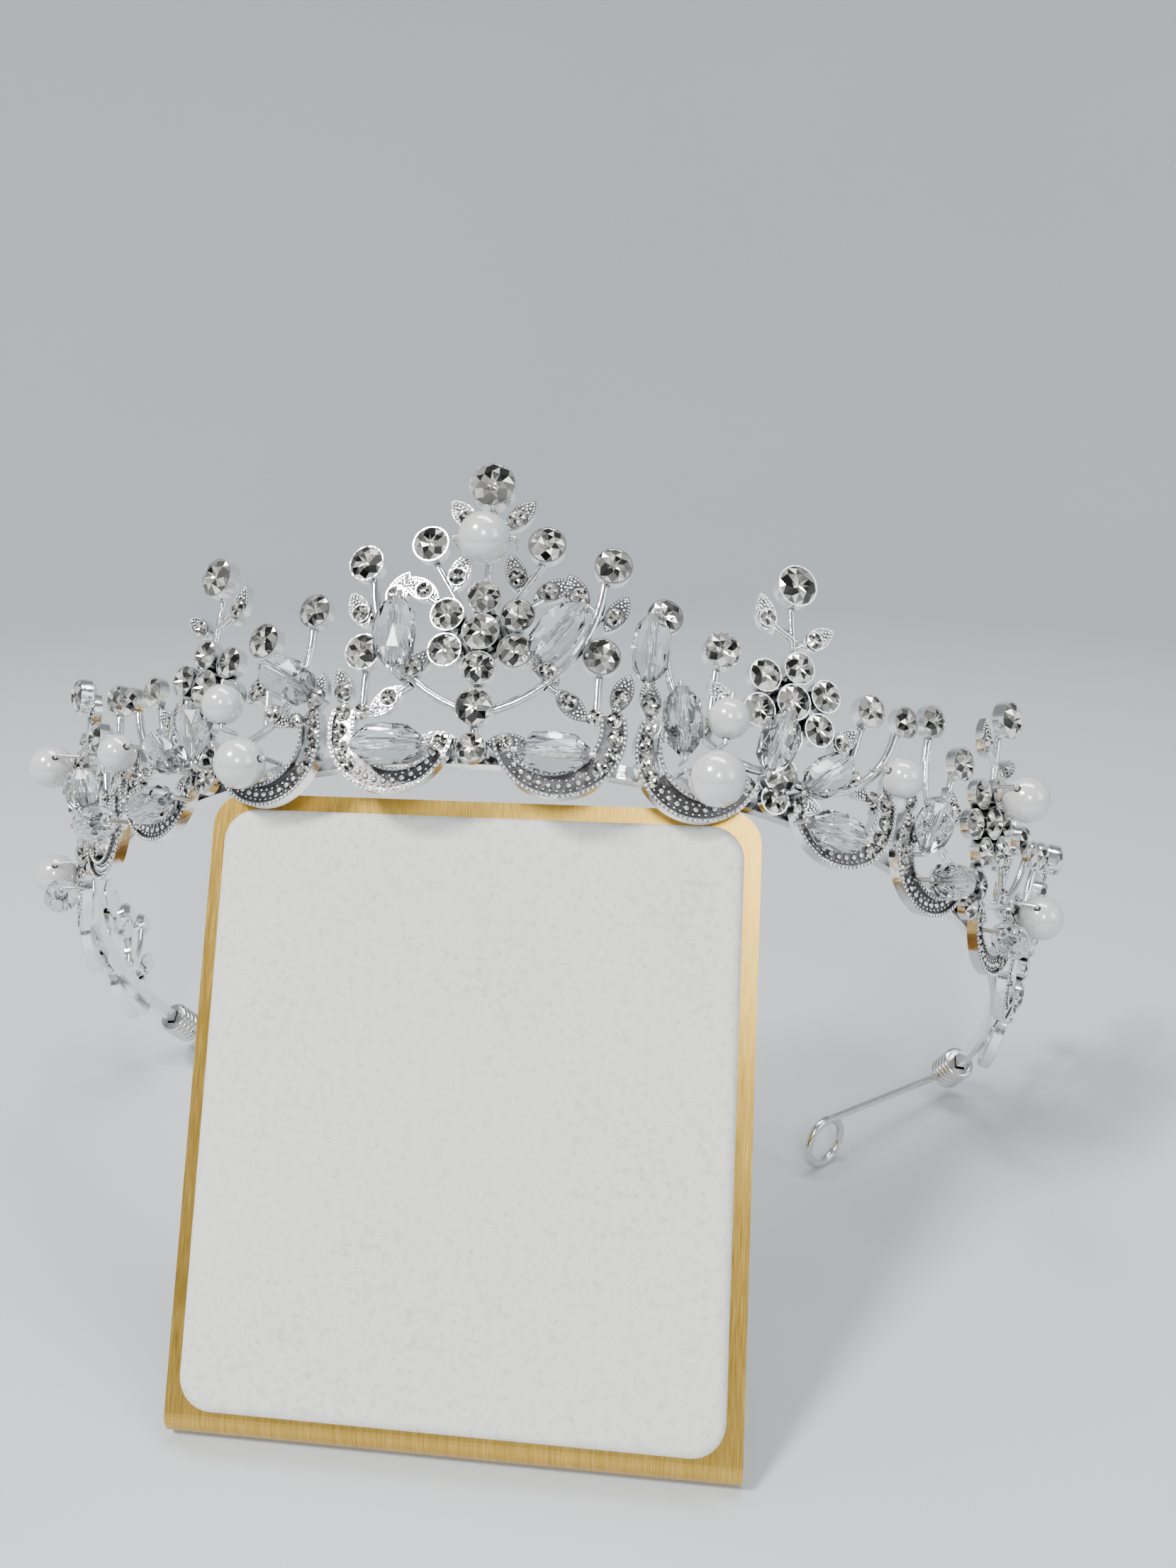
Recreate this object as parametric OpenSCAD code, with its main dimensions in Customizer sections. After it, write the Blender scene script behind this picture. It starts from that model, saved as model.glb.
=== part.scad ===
// Crystal and pearl diadem hung over the top edge of a small easel-shaped display stand.
// X runs to the wearer's left (the viewer's right), -Y is the front and Z is up from the floor.

/* [Stand] */
// Width of the display panel
panel_w = 71; // [60:1:90]
// Height of the panel, measured up its slope
panel_h = 80; // [65:1:100]
// Lean of the panel back from upright, in degrees
panel_lean = 25.5; // [18:0.5:32]
// Thickness of the folded sheet
sheet_t = 1.2; // [0.8:0.1:2]
// Radius of the sheet's outer corners
corner_r = 4.3; // [3:0.1:6]
// Inside radius of the fold between panel and foot
fold_r = 1.6; // [1:0.1:3]
// Depth of the foot from the front of the fold
foot_d = 26; // [18:1:40]
// Place of the stand's front edge ahead of the middle of the whole
front_y = -48.04; // [-70:0.01:-40]

/* [Pad] */
// Thickness of the velvet pad
pad_t = 2.2; // [1:0.1:4]
// Bare sheet left at the sides and top of the pad
pad_border = 2.1; // [1:0.1:5]
// Bare sheet left below the pad, above the fold
pad_foot_border = 1; // [0.5:0.1:5]
// Radius of the pad's corners
pad_r = 4.2; // [2:0.1:6]

/* [Headband] */
// Radius of the circle that the backs of the castings lie on
band_r = 76; // [70:1:84]
// Thickness of the flat band
band_t = 1.2; // [0.8:0.1:2]
// Width of the flat band
band_w = 2; // [1.4:0.1:3]
// Height of the band's lower edge above the castings' joint line
band_low = -0.2; // [-1:0.1:1]
// Length of the band from the middle of the front to one end
arm_l = 140; // [134:1:150]
// Height of the band's end above the floor
end_lift = 5.6; // [4.5:0.1:10]
// Outward flare of the castings, in degrees
flare = 18.5; // [5:0.5:25]

/* [Castings] */
// Width of one scallop along the band
pitch = 18.7; // [17.5:0.1:19.2]
// Height of the middle crest stone above the joint line
crest_h = 36; // [32:0.5:42]
// Height of the side crest stones above the joint line
side_crest_h = 29.6; // [27:0.5:34]
// Thickness of the cast metal
cast_t = 1.1; // [0.8:0.1:1.6]
// Outer radius of a scallop
scallop_r = 8.3; // [7.8:0.1:8.5]
// Radius of the opening inside a scallop
opening_r = 5.9; // [5.2:0.1:6.2]
// Depth that a scallop hangs below the joint line
scallop_drop = 4.2; // [3.5:0.1:5]
// Height of the raised rims and beading
relief = 0.35; // [0.2:0.05:0.6]
// Diameter of the stems
stem_d = 1.1; // [0.8:0.1:1.5]

/* [Stones] */
// Diameter of a main stone's cup
cup_d = 4.8; // [4.2:0.1:5]
// Diameter of a flower petal's cup
petal_d = 4.4; // [3.8:0.1:4.6]
// Diameter of a small stone's cup
bud_d = 2.5; // [2:0.1:2.8]
// Wall of a cup
cup_wall = 0.32; // [0.25:0.01:0.45]
// Space between a stone and its cup
stone_gap = 0.12; // [0.1:0.01:0.2]

/* [Beads] */
// Diameter of the pearl below the crest
pearl_d = 6.6; // [5.5:0.1:7.2]
// Length of a crystal bead
crystal_l = 8.5; // [7:0.1:9]
// Width of a crystal bead
crystal_w = 5.2; // [4.4:0.1:5.5]
// Bore through every bead
bore_d = 1; // [0.8:0.1:1.4]
// Diameter of the binding wire
wire_d = 0.6; // [0.4:0.1:0.7]

/* [End loops] */
// Diameter of the wire of an end loop
loop_wire_d = 1.4; // [1:0.1:2]
// Outside diameter of an end loop
loop_d = 9.2; // [7:0.1:12]
// Plan distance from the band's end to the middle of the loop
tail_l = 33; // [20:1:40]
// Turn of the tail inward from straight back, in degrees
tail_turn = 135; // [110:1:160]
// Length of the wire wrapping on each band end
wrap_l = 6; // [4:0.5:9]
// Outside diameter of the wrapping
wrap_d = 5.6; // [4.5:0.1:7]

/* [Hidden] */
// Length of the wrapping that stands past the band's end
wrap_past = 1.6;
// Castings, counted from the middle one outward on each side, as many as fit between the wrappings
SIDES = ["right", "left"];
RANKS = [1 : floor(((arm_l - wrap_l + wrap_past) / pitch - 1) / 2)];

// Stones of the middle casting, right half: across as a share of pitch, up as a share of crest_h,
// cup diameter as a share of cup_d
MIDDLE_STONES = [
    [0.35, 0.783, 1.0],
    [0.755, 0.73, 1.0],
    [0.75, 0.392, 1.0],
];
// Buds of the middle casting, right half: across, up as above, and the turn of the leaf's tip
// from straight up towards the side
MIDDLE_BUDS = [
    [0.185, 0.665, -20],
    [0.385, 0.618, 60],
    [0.15, 0.89, 40],
    [0.80, 0.55, 25],
    [0.575, 0.61, -30],
    [0.43, 0.33, -45],
    [0.575, 0.225, 130],
    [0.9, 0.262, 15],
];
// Stones of a side casting: across as a share of pitch, towards the back of the head,
// up as a share of side_crest_h, cup diameter as a share of cup_d
SIDE_STONES = [
    [-0.9, 0.70, 0.96],
    [-0.52, 0.61, 1.0],
    [0.57, 0.585, 0.96],
    [0.87, 0.62, 0.92],
];
// Buds of a side casting, in the same columns with the turn of the leaf's tip
SIDE_BUDS = [
    [-0.25, 0.83, -25],
    [0.09, 0.80, 45],
    [-0.43, 0.40, -45],
    [0.43, 0.40, 40],
    [-0.575, 0.27, -130],
    [0.575, 0.27, 130],
    [-0.9, 0.31, -15],
    [0.9, 0.31, 15],
];
// Pearls: arc from the middle as a share of pitch, up as a share of crest_h, diameter as a share
// of pearl_d, lift of the pearl's back as a share of a main cup's depth, turn of its bore from upright
PEARLS = [
    [0, 0.765, 1.0, 0.65, 90],
    [1.56, 0.245, 0.8, 0.65, 0],
    [1.53, 0.02, 1.06, 0.73, 90],
    [2.84, 0.27, 0.8, 0.73, 90],
    [4.0, 0.5, 1.0, 1.25, 90],
    [4.93, 0.24, 1.0, 0.73, 90],
    [-1.66, 0.25, 0.8, 1.22, 0],
    [-1.53, 0.02, 0.98, 0.73, 90],
    [-2.84, 0.27, 0.8, 0.73, 90],
    [-4.0, 0.5, 1.0, 1.25, 90],
    [-4.93, 0.24, 1.0, 0.73, 90],
];
// Crystals: arc, up, length as a share of crystal_l, width as a share of crystal_w, lift and turn
// in the same way
CRYSTALS = [
    [0.47, 0.44, 1.06, 1.04, 0.65, 33],
    [0.53, 0.02, 1.01, 1.0, 0.73, 88],
    [1.03, 0.43, 1.03, 0.96, 0.65, -4],
    [1.28, 0.2, 0.99, 1.0, 0.65, -12],
    [1.87, 0.2, 0.92, 1.0, 1.25, 8],
    [2.28, 0.16, 0.92, 1.0, 0.65, 42],
    [2.42, -0.02, 0.96, 1.0, 0.73, 88],
    [3.2, 0.17, 0.9, 1.0, 0.73, 10],
    [3.5, 0.02, 0.9, 1.0, 0.73, 70],
    [4.5, 0.02, 0.94, 1.0, 0.73, 80],
    [-0.5, 0.43, 1.07, 1.08, 0.65, 0],
    [-0.5, 0.03, 1.04, 1.04, 0.73, -88],
    [-1.2, 0.3, 1.06, 1.08, 0.73, -55],
    [-1.94, 0.18, 0.92, 1.0, 1.25, -8],
    [-2.27, 0.17, 0.92, 1.0, 0.65, -40],
    [-2.4, -0.02, 0.96, 1.0, 0.73, -88],
    [-3.2, 0.05, 1.01, 1.04, 0.73, -75],
    [-3.5, 0.26, 0.9, 1.0, 0.73, -20],
    [-4.5, 0.02, 0.94, 1.0, 0.73, -80],
];

$fn = 48;

// Stand: the fold's centre line is the panel's origin, its height runs up the slope
fold_out = fold_r + sheet_t;
panel_rise = panel_h - fold_out;
glue_t = 0.05;

function panel_y(y, z) = front_y + fold_out + y * cos(panel_lean) + z * sin(panel_lean);
function panel_z(y, z) = fold_out - y * sin(panel_lean) + z * cos(panel_lean);

// Band and the way it hangs: its lower inner edge rests on the panel's top near both corners
band_gap = 0.25;
band_out = band_r - band_gap;
band_in = band_out - band_t;
seat_gap = 0.25;
seat_x = panel_w / 2 - 0.65 * corner_r;
seat_drop = corner_r - sqrt(pow(corner_r, 2) - pow(seat_x - panel_w / 2 + corner_r, 2));
seat_angle = asin(seat_x / band_in);
seat_y = -band_in * cos(seat_angle);
edge_y = panel_y(-fold_r - sheet_t / 2, panel_rise - seat_drop + seat_gap);
edge_z = panel_z(-fold_r - sheet_t / 2, panel_rise - seat_drop + seat_gap);
arm_angle = arm_l / band_r * 180 / PI;
arm_y = -(band_in + band_t / 2) * cos(arm_angle);
arm_z = band_low + band_w / 2;
reach = norm([arm_y - seat_y, arm_z - band_low]);
tilt = atan2(arm_z - band_low, arm_y - seat_y) + asin((edge_z - end_lift) / reach);
hang_y = edge_y - seat_y * cos(tilt) - band_low * sin(tilt);
hang_z = edge_z + seat_y * sin(tilt) - band_low * cos(tilt);

function worn_point(p) = [
    p.x,
    hang_y + p.y * cos(tilt) + p.z * sin(tilt),
    hang_z - p.y * sin(tilt) + p.z * cos(tilt),
];

// Point at an arc length s along the castings, h up their flared face and o out of it
function face_point(s, h, o) =
    let (a = s / band_r * 180 / PI, r = band_r + o * cos(flare) + h * sin(flare))
    [r * sin(a), -r * cos(a), h * cos(flare) - o * sin(flare)];

floor_z = 0.6;
function cup_depth(d) = 0.8 * (d / 2 - cup_wall) + floor_z;

petal_reach = (cup_d + petal_d) / 2 + 0.1;
spine_o = 0.6 * stem_d;
scallop_x = pitch - scallop_r - 0.15;
scallop_h = scallop_r - scallop_drop;
opening_x = scallop_x - 1;
opening_h = scallop_h + 0.75;
curl = [scallop_x + 4.1, scallop_h + 2.3];
joint_leaf = [0.2 * pitch, 0.06 * crest_h];
bowl_h = 0.177 * crest_h;
side_bowl_h = 0.15 * side_crest_h;
flower_h = bowl_h + 2 * petal_reach + 0.4;
side_flower_h = side_bowl_h + 2 * petal_reach + 0.4;
bud_leaf = 0.62;
pave_d = 2.1;

module hung() {
    translate([0, hang_y, hang_z]) rotate([-tilt, 0, 0]) children();
}

module at(s, h = 0, o = 0) {
    rotate([0, 0, s / band_r * 180 / PI]) translate([0, -band_r, 0]) rotate([flare, 0, 0])
        translate([0, -o, h]) children();
}

// Lays a shape drawn in XY, with its thickness in Z, onto the face and facing out
module facing() {
    rotate([90, 0, 0]) children();
}

module rod(a, b, d) {
    v = b - a;
    translate(a) rotate([0, acos(v.z / norm(v)), atan2(v.y, v.x)]) cylinder(d = d, h = norm(v), $fn = 24);
}

module wire(points, d) {
    for (i = [1 : len(points) - 1]) rod(points[i - 1], points[i], d);
    for (i = [1 : len(points) - 2]) translate(points[i]) sphere(d = 1.1 * d, $fn = 24);
}

// Round cup for one stone: its outside, and the seat that is cut into it and what it stands on
module cup_body(d) {
    facing() rotate([0, 0, 17]) rotate_extrude()
        polygon([[0, 0], [d * 0.34, 0], [d / 2, floor_z + 0.2], [d / 2, cup_depth(d)], [0, cup_depth(d)]]);
}

module cup_hollow(d) {
    mouth = d / 2 - cup_wall;
    facing() rotate([0, 0, 17]) rotate_extrude() polygon([
        [0, floor_z], [mouth * 0.25, floor_z], [mouth, cup_depth(d) - 0.25],
        [mouth, cup_depth(d) + 1], [0, cup_depth(d) + 1],
    ]);
}

// Cut stone: eight-sided table, crown and pavilion
module stone(d) {
    girdle = d / 2 - cup_wall - stone_gap;
    seat = cup_depth(d) - 0.1;
    table_z = seat + 0.3 * girdle;
    culet_z = seat - 0.66 * girdle;
    ring = [for (i = [0 : 7]) [cos(45 * i + 22.5), sin(45 * i + 22.5)]];
    points = concat(
        [for (p = ring) [0.58 * girdle * p.x, 0.58 * girdle * p.y, table_z]],
        [for (p = ring) [girdle * p.x, girdle * p.y, seat]],
        [[0, 0, culet_z]]
    );
    crown = [for (i = [0 : 7]) [i, 8 + i, 8 + (i + 1) % 8, (i + 1) % 8]];
    pavilion = [for (i = [0 : 7]) [8 + i, 16, 8 + (i + 1) % 8]];
    facing() polyhedron(points, concat([[for (i = [0 : 7]) i]], crown, pavilion));
}

// Outline of the folded sheet seen from the side, from the foot's rear edge round the fold
// and up the panel, in the fold's own axes
function fold_arc(r, from, to) = [for (i = [0 : 12]) let (a = from + (to - from) * i / 12) [r * cos(a), r * sin(a)]];
function up_slope(p) = p + panel_rise * [sin(panel_lean), cos(panel_lean)];

module sheet_section() {
    face_angle = 180 - panel_lean;
    outer = fold_arc(fold_out, 270, face_angle);
    inner = fold_arc(fold_r, face_angle, 270);
    polygon(concat(
        [[foot_d - fold_out, -fold_out]], outer, [up_slope(outer[12]), up_slope(inner[0])],
        inner, [[foot_d - fold_out, -fold_r]]
    ));
}

module stand_plate() {
    color("goldenrod") difference() {
        translate([-panel_w / 2, front_y + fold_out, fold_out]) rotate([90, 0, 90])
            linear_extrude(panel_w) sheet_section();
        translate([0, front_y + fold_out, fold_out]) rotate([-panel_lean, 0, 0])
            translate([0, 0, panel_rise]) rotate([90, 0, 0]) corner_cuts();
        translate([0, front_y + foot_d, 0]) corner_cuts();
    }
}

// What is cut from the square corner beyond an arc, whose ends run on straight past the sheet's sides
module corner_waste(r) {
    arc = [for (i = [0 : 8]) r * [cos(11.25 * i), sin(11.25 * i)]];
    from = 1.3 * arc[0] - 0.3 * arc[1];
    to = 1.3 * arc[8] - 0.3 * arc[7];
    polygon(concat([from], [for (i = [1 : 7]) arc[i]], [to, [to.x, r + 1], [r + 1, r + 1], [r + 1, from.y]]));
}

// Rounds the corners of a sheet whose end edge lies on the X axis
module corner_cuts() {
    for (turned = [0, 1]) mirror([turned, 0, 0]) translate([panel_w / 2 - corner_r, -corner_r, -foot_d])
        linear_extrude(2 * foot_d) corner_waste(corner_r);
}

module velvet_pad() {
    pad_w = panel_w - 2 * pad_border;
    pad_h = panel_rise - pad_border - pad_foot_border;
    color("whitesmoke") translate([0, front_y + fold_out, fold_out]) rotate([-panel_lean, 0, 0])
        translate([0, -fold_out - glue_t, pad_foot_border]) rotate([90, 0, 0]) linear_extrude(pad_t) {
            translate([-pad_w / 2, pad_r]) square([pad_w, pad_h - 2 * pad_r]);
            translate([-pad_w / 2 + pad_r, 0]) square([pad_w - 2 * pad_r, pad_h]);
            for (x = [-1, 1], y = [pad_r, pad_h - pad_r])
                translate([x * (pad_w / 2 - pad_r), y]) circle(r = pad_r);
        }
}

module headband() {
    color("silver") hung() translate([0, 0, band_low]) rotate([0, 0, -90 - arm_angle])
        rotate_extrude(angle = 2 * arm_angle, $fn = 180)
            translate([band_in, 0]) square([band_t, band_w]);
}

// Comma-shaped scallop with a sunk channel between two raised rims
module scallop() {
    facing() {
        linear_extrude(cast_t) scallop_outline(0);
        linear_extrude(cast_t + relief) {
            difference() {
                scallop_outline(0);
                scallop_outline(0.5);
            }
        }
    }
}

module scallop_outline(inset) {
    difference() {
        translate([scallop_x, scallop_h]) circle(r = scallop_r - inset, $fn = 96);
        translate([opening_x, opening_h]) circle(r = opening_r + inset, $fn = 96);
        translate([scallop_x - 2 * scallop_r, joint_leaf.y + 0.3]) square([2 * scallop_r - 0.5, 3 * scallop_r]);
        translate([scallop_x - 1, curl.y + 0.4]) square([3 * scallop_r, 3 * scallop_r]);
    }
}

// Row of beads in the channel
module scallop_beading() {
    for (t = [0 : 9]) let (a = 212 + 10.5 * t, r = scallop_r - 1.55)
        translate([scallop_x + r * cos(a), -cast_t, scallop_h + r * sin(a)]) sphere(d = 0.8, $fn = 16);
}

// Places of the pave cups along the outer curl
module curl_seats() {
    for (a = [-38, -19, 0, 19]) let (r = scallop_r - 1.25)
        translate([scallop_x + r * cos(a), 0, scallop_h + r * sin(a)]) children();
    translate([curl.x, 0, curl.y]) children();
}

module leaf_plate(turn) {
    rotate([0, turn, 0]) facing() linear_extrude(cast_t) intersection() {
        translate([-0.9 * bud_d, bud_leaf]) circle(r = 1.45 * bud_d);
        translate([0.9 * bud_d, bud_leaf]) circle(r = 1.45 * bud_d);
    }
}

module mirrored_pair() {
    children();
    mirror([1, 0, 0]) children();
}

// Places of the stones that every casting has at its foot, with the size of each in $cup
module foot_seats(bowl) {
    mirrored_pair() at(joint_leaf.x, joint_leaf.y) let ($cup = bud_d) children();
    at(0, 0.035 * crest_h) let ($cup = 0.8 * cup_d) children();
    at(0, bowl) let ($cup = cup_d) children();
}

module flower_seats(h) {
    at(0, h) let ($cup = cup_d) children();
    for (i = [0 : 5]) at(petal_reach * sin(60 * i), h + petal_reach * cos(60 * i)) let ($cup = petal_d) children();
}

module row_seats(stones, buds, height) {
    for (row = stones) at(row[0] * pitch, row[1] * height) let ($cup = row[2] * cup_d) children();
    for (row = buds) at(row[0] * pitch, row[1] * height) let ($cup = bud_d) children();
}

// Two scallops, the leaves beside the joint and the disc that backs the flower
module foot_plates(flower_up) {
    mirrored_pair() {
        at(pitch / 2) translate([-pitch / 2, 0, 0]) {
            scallop();
            scallop_beading();
            curl_seats() cup_body(pave_d);
        }
        at(joint_leaf.x, joint_leaf.y) leaf_plate(90);
    }
    at(0, flower_up, -0.12) facing() cylinder(r = 0.72 * petal_reach, h = 0.4);
}

module foot_hollows() {
    mirrored_pair() at(pitch / 2) translate([-pitch / 2, 0, 0]) curl_seats() cup_hollow(pave_d);
}

// Round branch that leaves the side of the cup above the joint and ends upright at its tip
module branch(from_h, tip) {
    start_x = 0.38 * cup_d;
    rise = tip.y - from_h;
    sweep = 2 * atan((abs(tip.x) - start_x) / rise);
    bend = rise / sin(sweep);
    middle_x = tip.x / 2;
    at(middle_x) translate([-middle_x, -spine_o, 0]) mirror([tip.x < 0 ? 1 : 0, 0, 0])
        translate([abs(tip.x) - bend, 0, tip.y]) facing() rotate([0, 0, -sweep])
            rotate_extrude(angle = sweep, $fn = 96) translate([bend, 0]) circle(d = 1.15 * stem_d, $fn = 24);
}

module stem(a, b) {
    rod(face_point(a.x, a.y, spine_o), face_point(b.x, b.y, spine_o), stem_d);
}

module middle_seats() {
    foot_seats(bowl_h) children();
    flower_seats(flower_h) children();
    mirrored_pair() row_seats(MIDDLE_STONES, MIDDLE_BUDS, crest_h) children();
}

module crest_seat() {
    at(0, crest_h) let ($cup = 1.25 * cup_d) children();
}

module middle_stems() {
    stem([0, 1], [0, crest_h - 1]);
    mirrored_pair() {
        for (row = MIDDLE_BUDS) at(row[0] * pitch, row[1] * crest_h) leaf_plate(row[2]);
        branch(bowl_h, [0.755 * pitch, 0.68 * crest_h]);
        stem([0.35 * pitch, 0.74 * crest_h], [0.16 * pitch, flower_h + 0.8485 * petal_reach]);
        stem([curl.x, curl.y], [0.75 * pitch, 0.35 * crest_h]);
        stem([0.9 * pitch, 0.25 * crest_h], [0.86 * pitch, 0.14 * crest_h]);
        stem([0.385 * pitch, 0.6 * crest_h], [0.2 * pitch, flower_h + 0.6187 * petal_reach]);
        stem([0.575 * pitch, 0.6 * crest_h], [0.73 * pitch, 0.54 * crest_h]);
        stem([0, 0.86 * crest_h], [0.15 * pitch, 0.89 * crest_h]);
        stem([0.44 * pitch, 0.27 * crest_h], [0.575 * pitch, 0.225 * crest_h]);
    }
}

module side_seats() {
    foot_seats(side_bowl_h) children();
    flower_seats(side_flower_h) children();
    row_seats(SIDE_STONES, SIDE_BUDS, side_crest_h) children();
}

module side_crest_seat() {
    at(-0.12 * pitch, side_crest_h) let ($cup = 1.15 * cup_d) children();
}

module side_stems() {
    stem([0, 1], [0, side_flower_h]);
    stem([0, side_flower_h + petal_reach], [-0.12 * pitch, side_crest_h - 1]);
    for (row = SIDE_BUDS) at(row[0] * pitch, row[1] * side_crest_h) leaf_plate(row[2]);
    branch(side_bowl_h, [-0.9 * pitch, 0.64 * side_crest_h]);
    branch(side_bowl_h, [0.87 * pitch, 0.57 * side_crest_h]);
    stem([-0.52 * pitch, 0.55 * side_crest_h], [-0.5 * pitch, 0.2 * side_crest_h]);
    stem([0.57 * pitch, 0.52 * side_crest_h], [0.52 * pitch, 0.2 * side_crest_h]);
    stem([-0.03 * pitch, 0.77 * side_crest_h], [-0.25 * pitch, 0.83 * side_crest_h]);
    stem([-0.03 * pitch, 0.74 * side_crest_h], [0.09 * pitch, 0.80 * side_crest_h]);
    mirrored_pair() {
        stem([0.8 * pitch, 0.16 * side_crest_h], [0.9 * pitch, 0.31 * side_crest_h]);
        stem([0.43 * pitch, 0.40 * side_crest_h], [0.52 * pitch, 0.30 * side_crest_h]);
    }
}

module casting_middle() {
    color("silver") hung() difference() {
        union() {
            foot_plates(flower_h);
            middle_stems();
            middle_seats() cup_body($cup);
            crest_seat() cup_body($cup);
        }
        foot_hollows();
        middle_seats() cup_hollow($cup);
        crest_seat() cup_hollow($cup);
    }
}

module stones_middle() {
    color("lightgray") hung() middle_seats() stone($cup);
}

module crest_stone_middle() {
    color("lightgray") hung() crest_seat() stone($cup);
}

// Moves a side casting from the middle of the front to its own place on either side
module placed(side, rank) {
    hung() mirror([side == "left" ? 1 : 0, 0, 0]) rotate([0, 0, 2 * rank * pitch / band_r * 180 / PI])
        children();
}

module casting_side(side, rank) {
    color("silver") placed(side, rank) difference() {
        union() {
            foot_plates(side_flower_h);
            side_stems();
            side_seats() cup_body($cup);
            side_crest_seat() cup_body($cup);
        }
        foot_hollows();
        side_seats() cup_hollow($cup);
        side_crest_seat() cup_hollow($cup);
    }
}

module stones_side(side, rank) {
    color("lightgray") placed(side, rank) side_seats() stone($cup);
}

module crest_stone_side(side, rank) {
    color("lightgray") placed(side, rank) side_crest_seat() stone($cup);
}

// Puts a bead at its arc and height, lifted clear of the metal behind it, with its bore turned upright
module bead_place(arc, up, lift, turn, width) {
    hung() at(arc * pitch, up * crest_h, lift * cup_depth(cup_d) + width / 2) rotate([0, turn, 0]) children();
}

module pearl(row) {
    d = row[2] * pearl_d;
    color("white") bead_place(row[0], row[1], row[3], row[4], d) difference() {
        sphere(d = d, $fn = 64);
        cylinder(d = bore_d, h = 2 * d, center = true);
    }
}

// Faceted bead: rings of ten corners, each ring half a step on from the last
module crystal(row) {
    length = row[2] * crystal_l;
    width = row[3] * crystal_w;
    rings = [[-0.5, 0.34], [-0.3, 0.86], [0, 1], [0.3, 0.86], [0.5, 0.34]];
    n = 10;
    last = len(rings) - 1;
    points = [for (k = [0 : last], i = [0 : n - 1]) let (a = 36 * i + 18 * (k % 2), r = rings[k][1] * width / 2)
        [r * cos(a), r * sin(a), rings[k][0] * length]];
    sides = [for (k = [0 : last - 1], i = [0 : n - 1])
        let (j = (i + 1) % n, a = k * n + i, b = k * n + j, c = a + n, d = b + n)
        each (k % 2 == 0 ? [[b, a, c], [c, d, b]] : [[a, d, b], [a, c, d]])];
    color("azure") bead_place(row[0], row[1], row[4], row[5], width) difference() {
        polyhedron(points, concat([[for (i = [0 : n - 1]) i]], sides, [[for (i = [n - 1 : -1 : 0]) last * n + i]]));
        cylinder(d = bore_d, h = 2 * length, center = true);
    }
}

// Fine wire through every bead, turned back towards the castings at both ends
module binding_wire() {
    color("silver") {
        for (row = PEARLS) bead_place(row[0], row[1], row[3], row[4], row[2] * pearl_d)
            bead_wire(row[2] * pearl_d, row[2] * pearl_d);
        for (row = CRYSTALS) bead_place(row[0], row[1], row[4], row[5], row[3] * crystal_w)
            bead_wire(row[2] * crystal_l, row[3] * crystal_w);
    }
}

module bead_wire(length, width) {
    out = length / 2 + wire_d;
    wire([[0, width / 2, -out], [0, 0, -out], [0, 0, out], [0, width / 2, out]], wire_d);
}

// Point on the band's middle line at an arc length s, on the side that hand gives as 1 or -1
function arm_point(s, hand) =
    let (a = s / band_r * 180 / PI, r = band_in + band_t / 2)
    [hand * r * sin(a), -r * cos(a), arm_z];

module at_arm_end(hand) {
    hung() rotate([0, 0, hand * arm_angle]) translate([0, -band_in - band_t / 2, arm_z])
        rotate([0, -90 * hand, 0]) children();
}

// Wrapping over the band's end, with the tail that runs inward to an upright ring on the floor
module end_loop(hand) {
    ring_r = (loop_d - loop_wire_d) / 2;
    start = worn_point(arm_point(arm_l + wrap_past / 2, hand));
    way = [-hand * sin(tail_turn), cos(tail_turn)];
    foot = [start.x + way.x * tail_l, start.y + way.y * tail_l, ring_r + loop_wire_d / 2];
    color("silver") difference() {
        union() {
            rod(start, foot + [0, 0, ring_r], 0.85 * loop_wire_d);
            translate(foot) rotate([90, 0, atan2(way.y, way.x)])
                rotate_extrude() translate([ring_r, 0]) circle(d = loop_wire_d);
            at_arm_end(hand) translate([0, 0, -wrap_past]) wrapping();
        }
        at_arm_end(hand) translate([-band_w / 2 - band_gap, -band_t / 2 - band_gap, -band_gap])
            cube([band_w + 2 * band_gap, band_t + 2 * band_gap, 2 * wrap_l]);
    }
}

module wrapping() {
    turns = 5;
    lay = wrap_l / turns;
    rotate_extrude() {
        square([(wrap_d - lay) / 2, wrap_l]);
        for (i = [0 : turns - 1]) translate([(wrap_d - lay) / 2, lay * (i + 0.5)]) circle(d = 1.1 * lay, $fn = 24);
    }
}

stand_plate();
velvet_pad();
headband();
casting_middle();
stones_middle();
crest_stone_middle();
for (side = SIDES, rank = RANKS) {
    casting_side(side, rank);
    stones_side(side, rank);
    crest_stone_side(side, rank);
}
for (i = [1 : len(PEARLS)]) pearl(PEARLS[i - 1]);
for (i = [1 : len(CRYSTALS)]) crystal(CRYSTALS[i - 1]);
binding_wire();
end_loop(1);  // end_loop_right
end_loop(-1);  // end_loop_left
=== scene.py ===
import bmesh
import bpy
import math
import random
from mathutils import Matrix, Vector


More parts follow.
